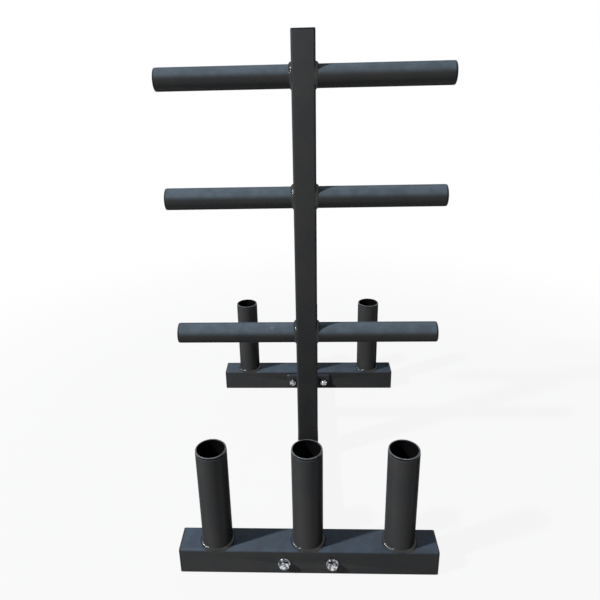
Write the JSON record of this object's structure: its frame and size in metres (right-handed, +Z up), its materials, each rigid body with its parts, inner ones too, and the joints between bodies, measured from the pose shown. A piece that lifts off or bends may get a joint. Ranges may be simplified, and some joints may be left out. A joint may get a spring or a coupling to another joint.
{
  "type": "plate tree",
  "caption": "Floor stand for strength training: a mast with paired horns for weight plates on a base whose crossbars carry upright tubes for long bars.",
  "frame": {"origin": "on the floor under the middle of the mast, the bottom centre of the bounding box", "axes": "+X to the right seen from the front, +Y from the front crossbar to the rear one, +Z up"},
  "size_m": [0.618, 0.76, 1.027],
  "materials": {
    "frame_paint": "semi-gloss powder coat with a fine texture",
    "black_plastic": "satin",
    "zinc": "bright zinc plating"
  },
  "bodies": {
    "root": {"mast": "frame_paint", "mast_foot_welds": "frame_paint", "base_beam": "frame_paint", "left_lower_horn": "frame_paint", "right_lower_horn": "frame_paint", "lower_horn_welds": "frame_paint", "left_middle_horn": "frame_paint", "right_middle_horn": "frame_paint", "middle_horn_welds": "frame_paint", "left_upper_horn": "frame_paint", "right_upper_horn": "frame_paint", "upper_horn_welds": "frame_paint", "front_crossbar": "frame_paint", "front_flange_plate": "frame_paint", "front_flange_weld": "frame_paint", "front_holder_welds": "frame_paint", "rear_crossbar": "frame_paint", "rear_flange_plate": "frame_paint", "rear_flange_weld": "frame_paint", "rear_holder_welds": "frame_paint", "front_left_bar_holder": "frame_paint", "front_centre_bar_holder": "frame_paint", "front_right_bar_holder": "frame_paint", "rear_left_bar_holder": "frame_paint", "rear_centre_bar_holder": "frame_paint", "rear_right_bar_holder": "frame_paint", "mast_cap": "black_plastic", "left_lower_horn_cap": "black_plastic", "right_lower_horn_cap": "black_plastic", "left_middle_horn_cap": "black_plastic", "right_middle_horn_cap": "black_plastic", "left_upper_horn_cap": "black_plastic", "right_upper_horn_cap": "black_plastic", "front_left_crossbar_cap": "black_plastic", "front_right_crossbar_cap": "black_plastic", "rear_left_crossbar_cap": "black_plastic", "rear_right_crossbar_cap": "black_plastic", "front_left_holder_liner": "black_plastic", "front_centre_holder_liner": "black_plastic", "front_right_holder_liner": "black_plastic", "rear_left_holder_liner": "black_plastic", "rear_centre_holder_liner": "black_plastic", "rear_right_holder_liner": "black_plastic", "front_bolts": "zinc", "front_washers": "zinc", "front_nuts": "zinc", "rear_bolts": "zinc", "rear_washers": "zinc", "rear_nuts": "zinc"}
  },
  "joints": []
}
